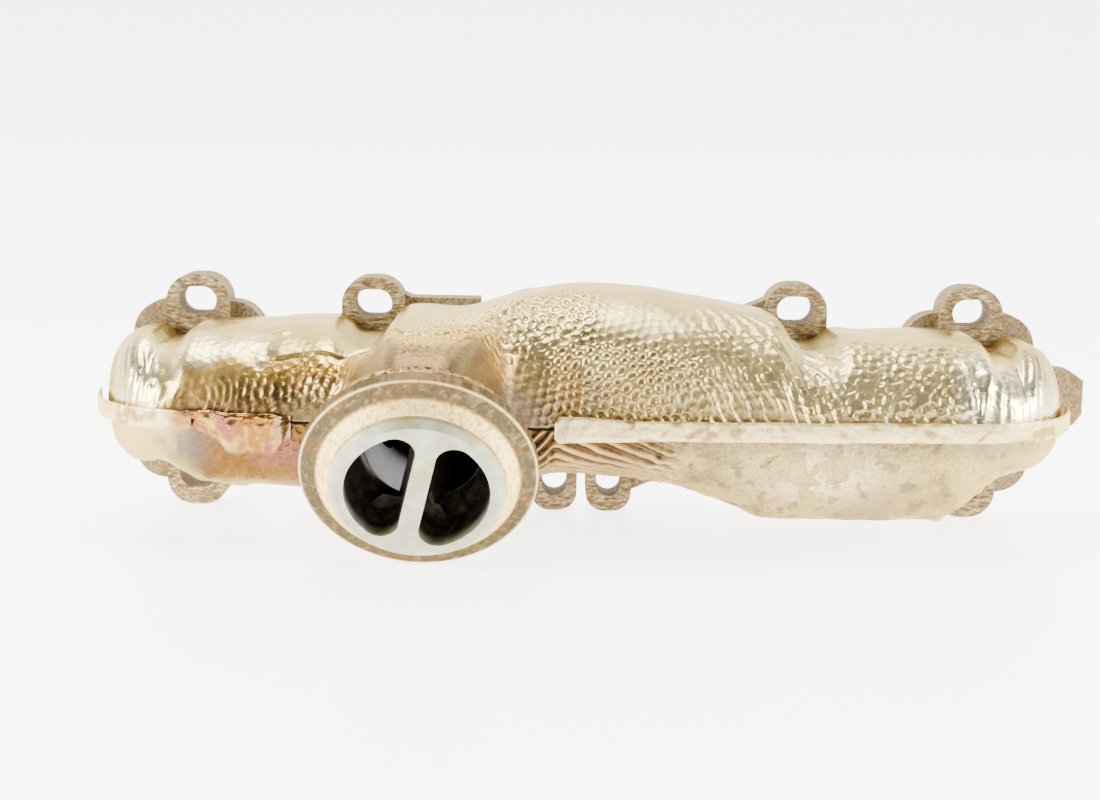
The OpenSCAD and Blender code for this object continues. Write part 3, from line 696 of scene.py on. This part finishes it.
def collector_material():
    """Machined, grey-green end with gold stains; soot inside the two gas passages.

    Clean where a point lies near the ring's face or further out, measured along the outlet's axis, or where
    it lies at the spigot's outside radius.
    """
    m, nodes, links, shader = new_material("collector_casting")
    at = object_coordinates(nodes)
    offset = vector_node(nodes, links, "SUBTRACT", at, tuple(OUTLET * MM)).outputs[0]
    depth = vector_node(nodes, links, "DOT_PRODUCT", offset, tuple(AXIS)).outputs["Value"]
    across = vector_node(nodes, links, "CROSS_PRODUCT", offset, tuple(AXIS)).outputs[0]
    radius = vector_node(nodes, links, "LENGTH", across).outputs["Value"]
    clean = rescaled(nodes, links, depth, 0.0040, 0.0087)
    outside = rescaled(nodes, links, radius, 0.0232, 0.0240)
    front = calculated(nodes, links, "GREATER_THAN", depth, 0.0045)
    wall = calculated(nodes, links, "MULTIPLY", outside, front)
    bright = calculated(nodes, links, "MAXIMUM", clean, wall)
    bare = ramp(nodes, links, noise(nodes, links, at, 150, 5),
                [(0.34, (0.36, 0.25, 0.10)), (0.46, (0.30, 0.31, 0.22)), (0.72, (0.46, 0.47, 0.36))])
    soot = ramp(nodes, links, noise(nodes, links, at, 260, 5, 0.7),
                [(0.45, (0.012, 0.010, 0.008)), (0.75, (0.10, 0.06, 0.03))])
    links.new(mix(nodes, links, "MIX", bright, soot, bare), shader.inputs["Base Color"])
    shader.inputs["Metallic"].default_value = 0.6
    shader.inputs["Roughness"].default_value = 0.42
    fine = noise(nodes, links, at, 700, 4)
    links.new(bump_normal(nodes, links, fine, 0.2, 0.0004), shader.inputs["Normal"])
    return m


foil = foil_material("dimpled_foil", 0.19, 0.36, 0.30)
cream_foil = foil_material("cream_foil", 0.28, 0.50, 0.50)
flange_cast = cast_material("flange_casting", (0.055, 0.038, 0.02), (0.36, 0.275, 0.15), (0.20, 0.09, 0.025))
ring_metal = ring_material()
ring_cast = cast_material("outlet_casting", (0.12, 0.09, 0.06), (0.38, 0.30, 0.20), (0.28, 0.13, 0.045))
spigot_cast = collector_material()
pipe_steel = simple_metal("pipe_steel", (0.16, 0.13, 0.11), (0.40, 0.34, 0.28), 90, 0.5)
weld_metal = simple_metal("weld_metal", (0.12, 0.10, 0.09), (0.34, 0.29, 0.25), 260, 0.5)
mat_fibre = simple_metal("fibre_mat", (0.30, 0.27, 0.23), (0.66, 0.62, 0.54), 500, 0.95, 0.0, 0.9)
inner_foil = simple_metal("inner_foil", (0.28, 0.24, 0.19), (0.55, 0.49, 0.40), 70, 0.45)

NODE_MATERIALS = {
    "port_flange_1": flange_cast, "port_flange_2": flange_cast, "port_flange_3": flange_cast,
    "port_flange_4": flange_cast, "port_pipe_1": pipe_steel, "port_pipe_2": pipe_steel,
    "port_pipe_3": pipe_steel, "port_pipe_4": pipe_steel, "right_log": pipe_steel, "collector": spigot_cast,
    "outlet_flange": ring_cast, "flange_welds": weld_metal, "pipe_welds": weld_metal,
    "outlet_weld": weld_metal, "upper_fibre_mat": mat_fibre, "lower_fibre_mat": mat_fibre,
    "upper_inner_foil": inner_foil, "lower_inner_foil": inner_foil,
}
for node_name, material in NODE_MATERIALS.items():
    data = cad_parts[node_name].data
    data.materials.clear()
    data.materials.append(material)

# ---- The two outer foils ----

columns_x, columns_k = shield_columns(END_COLUMNS, MIDDLE_COLUMNS)


def outer_foil(name, side, relief, heat, dust, dimples, material, node):
    """One half of the outer foil: the shield's surface, moved along its normals by a relief.

    The dimples are bowls on a triangular lattice: the sum of three cosines of phases that add up to zero,
    passed through a smooth step. Both ends and the flanks of the grooves stand a little proud, so that the
    foil stays outside the mat below it.
    """
    base = shield_surface(side, columns_x, columns_k, FRONT_ROWS, REAR_ROWS)
    s, a, e = surface_lengths(base, FRONT_ROWS - 1)
    fade = step(columns_k, 0.12, 0.35)[:, None]
    out = outward(base, side)
    warp = 1.2 * rough(s / 10, a / 10, 131)
    p, q = turned(s + warp, warp - a, DIMPLE_ANGLE)
    first = DIMPLE_WAVE * p
    second = DIMPLE_WAVE * (0.866 * q - 0.5 * p)
    phases = np.stack([first, second, -first - second], 2)
    depth = dimples(s, a, e) * fade
    bowls = depth * (0.5 - step(np.cos(phases).sum(2), BOWL_LOW, BOWL_HIGH))
    groove = sum(bump(columns_x - at, 2 * w) for at, w, _ in GROOVES)[:, None] * (side > 0)
    steep = groove * np.abs(out[..., 0])
    h = (relief(s, a, e) * fade + DIMPLE_DEPTH * bowls) * (1 - 0.6 * steep)
    h = np.clip(h, -0.3, 2.2) + 1.3 * steep + 0.5 * groove
    h = h + 0.55 * step(np.abs(columns_x), 150, 162)[:, None]
    outer = base + out * h[..., None]
    inner = shield_surface(side, columns_x, columns_k, 10, 4, 0.5)
    extra = {"dust": dust(s, a, e), "dimple_at": phases, "dimple_depth": depth}
    # The colour field carries heat tints and, on these foils, painted light and shade.
    obj = shell(name, outer, inner, side, material, heat(s, a, e), extra)
    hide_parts(node)
    return base


upper_base = outer_foil("upper_foil_skin", 1, upper_relief, upper_heat_and_painted_light, upper_dust, upper_dimples, foil,
                        "upper_outer_foil")
outer_foil("lower_foil_skin", -1, lower_relief, lower_heat_and_painted_light, lower_dust, lower_dimples, cream_foil,
           "lower_outer_foil")


# ---- Outlet ----

SIDEWAYS = np.array([1.0, 0.0, 0.0])
UPWARD = np.array([0.0, -math.sin(TILT), math.cos(TILT)])


def outlet_point(r, angle, s):
    """Point at radius r and angle round the outlet's axis, s in front of the ring's face."""
    r, angle, s = np.broadcast_arrays(r, angle, s)
    return (OUTLET + (r * np.cos(angle))[..., None] * SIDEWAYS + (r * np.sin(angle))[..., None] * UPWARD
            + s[..., None] * AXIS)


COLLAR_REACH = 33
COLLAR_RADIUS = 34.5
COLLAR_BACK = -5.6


def collar():
    """Foil tucked in behind the outlet ring.

    A ruled sheet: straight lines from the upper foil's front edge to an arc behind the ring's rim, bulged
    outward by half a sine wave and rippled across.
    """
    x = upper_base[:, 0, 0]
    keep = np.abs(x - OUTLET[0]) < COLLAR_REACH
    edge = upper_base[keep, 0]
    t = np.linspace(0, 1, keep.sum())
    fine_t = np.linspace(0, 1, 260)
    edge = np.stack([np.interp(fine_t, t, edge[:, k]) for k in range(3)], 1)
    angle = math.pi * (1.02 - 1.04 * fine_t)
    arc = outlet_point(COLLAR_RADIUS, angle, COLLAR_BACK)
    v = np.linspace(0, 1, 40)[None, :, None]
    sheet = edge[:, None] * (1 - v) + arc[:, None] * v
    out = sheet - (OUTLET + AXIS * -12)
    out = out / np.linalg.norm(out, axis=2, keepdims=True)
    u = fine_t[:, None] * 90
    w = v[..., 0]
    ripple = 0.45 * np.cos(2 * np.pi * (u + rough(u / 9, w * 3, 91)) / 3.6) * window(w, 0.02, 0.6, 0.1)
    lift = 2.2 * np.sin(np.pi * w) + ripple + 0.5 * rough(u / 8, w * 4, 93)
    sheet = sheet + out * (lift * np.sin(np.pi * w) ** 0.5)[..., None]
    n = rough(u / 11, w * 3, 95)
    colours = np.broadcast_to(np.array([0.17, 0.10, 0.045]), sheet.shape).copy()
    colours = tinted(colours, 0.7 * step(n, 0.0, 0.8) * (1 - w), (0.56, 0.26, 0.05))
    colours = tinted(colours, 0.5 * step(-n, 0.1, 0.8), (0.16, 0.11, 0.09))
    shell("outlet_collar", sheet, (sheet - out * 0.4)[:, ::13], -1, foil, colours)


# Section of the clamp ring, as radius and distance in front of its face
RING_PROFILE = [(27.85, 5.0), (27.85, -9.0), (31.5, -9.0), (37.0, -5.0), (37.7, -4.6), (37.95, -4.1),
                (37.95, -0.9), (37.8, -0.45), (37.3, -0.1), (36.6, 0.15), (33.4, 1.15), (32.5, 1.45),
                (32.1, 1.8), (28.5, 4.85)]


def outlet_ring():
    """Clamp ring: a closed profile turned round the outlet's axis, slightly pitted on its face."""
    profile = np.array(RING_PROFILE)
    share = np.linspace(0, len(profile), 120, endpoint=False)
    closed = np.vstack([profile, profile[:1]])
    r = np.interp(share, np.arange(len(closed)), closed[:, 0])[None, :]
    z = np.interp(share, np.arange(len(closed)), closed[:, 1])[None, :]
    angle = np.linspace(0, 2 * np.pi, 360, endpoint=False)[:, None]
    face = step(r, 32.4, 33) * step(z, -0.3, 0.1)
    pit = 0.12 * rough(angle * 22, r / 1.2, 101) * face
    points = outlet_point(r, angle, z + np.minimum(pit, 0.02))
    nu, nv = points.shape[:2]
    i, j = np.meshgrid(np.arange(nu), np.arange(nv), indexing="ij")
    faces = np.stack([i * nv + j, ((i + 1) % nu) * nv + j, ((i + 1) % nu) * nv + (j + 1) % nv,
                      i * nv + (j + 1) % nv], 2).reshape(-1, 4)
    n = rough(angle * 5, r / 3, 103) + 0 * z
    m = rough(angle * 26, r / 1.4, 105) + 0 * z
    c = np.broadcast_to(np.array([0.075, 0.060, 0.030]), points.shape).copy()
    c = tinted(c, 0.7 * step(n, 0.0, 0.8), (0.13, 0.07, 0.025))
    c = tinted(c, 0.6 * step(m, 0.2, 0.9), (0.24, 0.18, 0.09))
    c = tinted(c, 0.7 * step(-m, 0.3, 0.9), (0.08, 0.05, 0.03))
    cone = (1 - step(r, 32.0, 32.5)) * step(z, 1.2, 1.6)
    streak = grain(angle * 60, r * 1.5, 107)
    c = tinted(c, cone, (1.0, 0.76, 0.30))
    c = tinted(c, 0.7 * cone * step(streak + 0.5 * n, 0.1, 0.8), (0.50, 0.28, 0.06))
    c = tinted(c, 0.8 * np.exp(-((r - 32.3) / 0.35) ** 2) * step(z, 1, 1.4), (0.30, 0.17, 0.05))
    c = tinted(c, 0.8 * np.exp(-((r - 37.5) / 0.35) ** 2) * step(z, -1.2, -0.4), (0.85, 0.66, 0.32))
    obj = add_mesh("outlet_ring_skin", points.reshape(-1, 3), faces.tolist(), ring_metal,
                   c.reshape(-1, 3))
    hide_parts("outlet_flange")


collar()
outlet_ring()


# ---- Hem ----

# Section of the folded strip, as distances out from the seam and up
HEM_PROFILE = np.array([(0.0, -3.0), (2.4, -3.3), (3.9, -3.0), (4.45, -2.0), (4.5, 0.5), (4.45, 3.0),
                        (4.2, 3.7), (3.8, 3.7), (3.5, 3.0), (3.4, 0.4), (3.3, -1.6), (2.4, -2.3),
                        (0.0, -2.1)])
HEM_OUT_MAX = 4.7
HEM_DUST = 0.45


def hem(name, x_low, x_high, node, seed, lift=0.0):
    """Folded strip along the seam.

    The section's points are joined by straight lines into a closed ring, and the ring is carried along the
    shield's front edge, out along the path's sideways direction and up. Noise dents its front face, and its
    height follows a slow wave and, with lift, grows towards the outlet.
    """
    keep = (columns_x >= x_low) & (columns_x <= x_high) & (columns_k > 0.28)
    x, k = columns_x[keep], columns_k[keep]
    y = REAR_Y + (curve(x, FRONT) - REAR_Y) * k
    path = np.stack([x, y], 1)
    tangent = np.gradient(path, axis=0)
    tangent /= np.linalg.norm(tangent, axis=1, keepdims=True)
    side = np.stack([tangent[:, 1], -tangent[:, 0]], 1)
    ring = np.vstack([HEM_PROFILE, HEM_PROFILE[:1]])
    share = np.linspace(0, len(HEM_PROFILE), 52, endpoint=False)
    out = np.interp(share, np.arange(len(ring)), ring[:, 0])[None, :]
    up = np.interp(share, np.arange(len(ring)), ring[:, 1])[None, :]
    u = x[:, None]
    front_face = step(out, 3.6, 4.3)
    dent = 0.15 * grain(u / 9, 0 * up, seed) + 0.22 * rough(u / 3.2, up / 2.6, seed + 2) * front_face
    dent = dent + 0.22 * np.cos(2 * np.pi * u / 3.6) * step(np.abs(u), 139, 146) * front_face
    tall = 1 + lift * (1 - step(u, x_low, x_low + 36)) - 0.5 * (1 - step(u, x_low, x_low + 1.6)) * (lift > 0)
    tall = tall - 0.4 * step(u, -138, -131.5) * (x_high < 0)
    up = up * tall + 0.25 * grain(u / 16, 0 * up + 5, seed + 1)
    out = np.minimum(out + dent * (out > 3), HEM_OUT_MAX)
    points = np.stack([u + side[:, :1] * out, y[:, None] + side[:, 1:] * out, SEAM_Z + up], 2)
    nu, nv = points.shape[:2]
    faces = grid_faces(nu, nv, 0, True, True)
    faces += [np.arange(nv).tolist(), ((nu - 1) * nv + np.arange(nv))[::-1].tolist()]
    c = np.broadcast_to(np.array([0.86, 0.68, 0.32]), (nu, nv, 3)).copy()
    n = rough(u / 5.0, up / 4.5, seed + 4)
    c = tinted(c, 0.75 * step(n, 0.30, 0.75), (0.30, 0.15, 0.05))
    c = tinted(c, 0.5 * step(-n, 0.5, 0.9), (0.80, 0.72, 0.50))
    c = tinted(c, 0.9 * np.exp(-((u - 133 - 0.9 * up) / 0.5) ** 2), (0.05, 0.03, 0.02))
    c = tinted(c, 0.85 * step(u + 3 * n, -143, -134) * (x_high < 0), (0.34, 0.17, 0.04))
    obj = add_mesh(name, points.reshape(-1, 3), faces, cream_foil, c.reshape(-1, 3))
    add_field(obj.data, "dust", np.full(nu * nv, HEM_DUST))
    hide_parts(node)
    return obj


def torn_flap():
    """Loose end of the left hem.

    A grid of x along the seam and w down the strip: it hangs in front of the seam by a distance that shrinks
    with w to the power 1.5, and noise crumples it, its lower edge and its right end.
    """
    x = np.linspace(-136, -98.5, 150)[:, None]
    w = np.linspace(0, 1, 46)[None, :]
    drop = 6 + 8.5 * step(x, -134, -116) - 4.5 * step(x, -106, -99) + 1.4 * grain(x / 3, 0 * x, 111)
    z = SEAM_Z + 3.4 + 0.5 * grain(x / 7, 0 * x, 112) - drop * w
    z = z - 1.6 * step(x, -106, -99) * (1 - w)
    fold = rough(x / 3.6 + w * 2, w * 3.4 + 3, 113)
    away = 4.4 - 3.3 * w**1.5 + 0.55 * fold * (1 - 0.7 * w) + 0.5 * np.exp(-(((w - 0.32) / 0.12) ** 2))
    away = away - 3.2 * step(x, -102, -98.5) - 1.0 * (1 - step(w, 0, 0.08))
    y = curve(x, FRONT) - np.clip(away, 0.5, 6.5)
    sheet = np.stack([x + 0 * w, y, z], 2)
    n = rough(x / 5, w * 2.5, 115)
    m = rough(x / 1.8, w * 7, 117)
    c = np.broadcast_to(np.array([0.25, 0.105, 0.022]), sheet.shape).copy()
    c = tinted(c, 0.8 * step(n, 0.0, 0.6), (0.20, 0.075, 0.06))
    c = tinted(c, 0.7 * step(-n, 0.1, 0.7) * step(-x, 112, 122), (0.46, 0.33, 0.13))
    c = tinted(c, 0.6 * step(m, 0.2, 0.8), (0.52, 0.26, 0.05))
    c = tinted(c, 0.7 * step(x, -106, -100), (0.34, 0.25, 0.15))
    c = tinted(c, 0.7 * step(w, 0.86, 1.0), (0.12, 0.07, 0.05))
    back = sheet[:, ::5] + np.array([0, 0.4, 0])
    obj = shell("left_hem_flap", sheet, back, 1, foil, c)
    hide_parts("left_hem")


hem("left_hem_skin", -170, -131, "left_hem", 81)
hem("right_hem_skin", -10.5, 170, "right_hem", 84, 0.32)
torn_flap()


# ---- Studio ----

FLOOR_Z = -43.5
FLOOR_GLOW = 4.0
SKY_STRENGTH = 6.5
VIEW_TILT = math.radians(8.5)
VIEW_ROLL = math.radians(1.0)
VIEW_TARGET = Vector((-0.0120, -0.0160, -0.0025))
VIEW_DISTANCE = 0.765
VIEW_LENS = 68.3

def area_light(name, at, aim, size, power, colour=(1, 1, 1)):
    """Square soft box at a point, turned towards another."""
    data = bpy.data.lights.new(name, "AREA")
    data.size = size
    data.energy = power
    data.color = colour
    obj = bpy.data.objects.new(name, data)
    obj.location = at
    obj.rotation_euler = (Vector(aim) - Vector(at)).to_track_quat("-Z", "Y").to_euler()
    bpy.context.scene.collection.objects.link(obj)


def studio():
    """Pale floor, a pale world that is darker on the near side, and three soft boxes."""
    floor_z = FLOOR_Z * MM
    bend = np.radians(np.linspace(0, 90, 13))
    y = np.concatenate([[-4.0], 2.0 + 1.5 * np.sin(bend), [3.5]])
    z = np.concatenate([[0.0], 1.5 - 1.5 * np.cos(bend), [4.0]]) + floor_z
    x = np.array([-5.0, 5.0])
    points = np.stack([np.repeat(x, len(y)), np.tile(y, 2), np.tile(z, 2)], 1)
    mesh = bpy.data.meshes.new("floor")
    mesh.from_pydata(points.tolist(), [], grid_faces(2, len(y)))
    mesh.polygons.foreach_set("use_smooth", np.ones(len(mesh.polygons), bool))
    m, nodes, links, shader = new_material("floor")
    shader.inputs["Base Color"].default_value = (0.9, 0.9, 0.9, 1)
    shader.inputs["Roughness"].default_value = 0.3
    shader.inputs["Emission Color"].default_value = (1, 1, 1, 1)
    shader.inputs["Emission Strength"].default_value = FLOOR_GLOW
    mesh.materials.append(m)
    obj = bpy.data.objects.new("floor", mesh)
    bpy.context.scene.collection.objects.link(obj)
    world = bpy.data.worlds.new("studio")
    bpy.context.scene.world = world
    world.use_nodes = True
    nodes, links = world.node_tree.nodes, world.node_tree.links
    split = nodes.new("ShaderNodeSeparateXYZ")
    links.new(nodes.new("ShaderNodeTexCoord").outputs["Generated"], split.inputs["Vector"])
    sky = ramp(nodes, links, rescaled(nodes, links, split.outputs["Y"], -1, 1),
               [(0.0, (0.05,)), (0.3, (0.12,)), (0.6, (0.5,)), (0.9, (1.0,))])
    dim = ramp(nodes, links, split.outputs["Z"], [(0.05, (1.0,)), (0.45, (0.22,)), (1.0, (0.16,))])
    links.new(mix(nodes, links, "MULTIPLY", 1.0, sky, dim), nodes["Background"].inputs["Color"])
    nodes["Background"].inputs["Strength"].default_value = SKY_STRENGTH
    area_light("overhead", (-0.1, 0.15, 0.9), (0, -0.05, 0), 0.5, 17, (1.0, 0.99, 0.90))
    area_light("left_box", (-0.9, -0.45, 0.4), (0, -0.05, 0), 0.40, 27, (1.0, 0.98, 0.84))
    area_light("right_box", (1.0, -0.4, 0.4), (0, -0.05, 0), 0.40, 27, (1.0, 0.98, 0.84))


def camera():
    """Low view along the head face, slightly rolled."""
    forward = Vector((0, math.cos(VIEW_TILT), -math.sin(VIEW_TILT)))
    level_up = Vector((0, math.sin(VIEW_TILT), math.cos(VIEW_TILT)))
    level_right = Vector((1, 0, 0))
    right = level_right * math.cos(VIEW_ROLL) + level_up * math.sin(VIEW_ROLL)
    up = level_up * math.cos(VIEW_ROLL) - level_right * math.sin(VIEW_ROLL)
    data = bpy.data.cameras.new("camera")
    data.lens = VIEW_LENS
    data.sensor_width = 36.0
    data.clip_start, data.clip_end = 0.05, 30
    obj = bpy.data.objects.new("camera", data)
    place = Matrix((right, up, -forward)).transposed().to_4x4()
    place.translation = VIEW_TARGET - forward * VIEW_DISTANCE
    obj.matrix_world = place
    bpy.context.scene.collection.objects.link(obj)
    bpy.context.scene.camera = obj


studio()
camera()
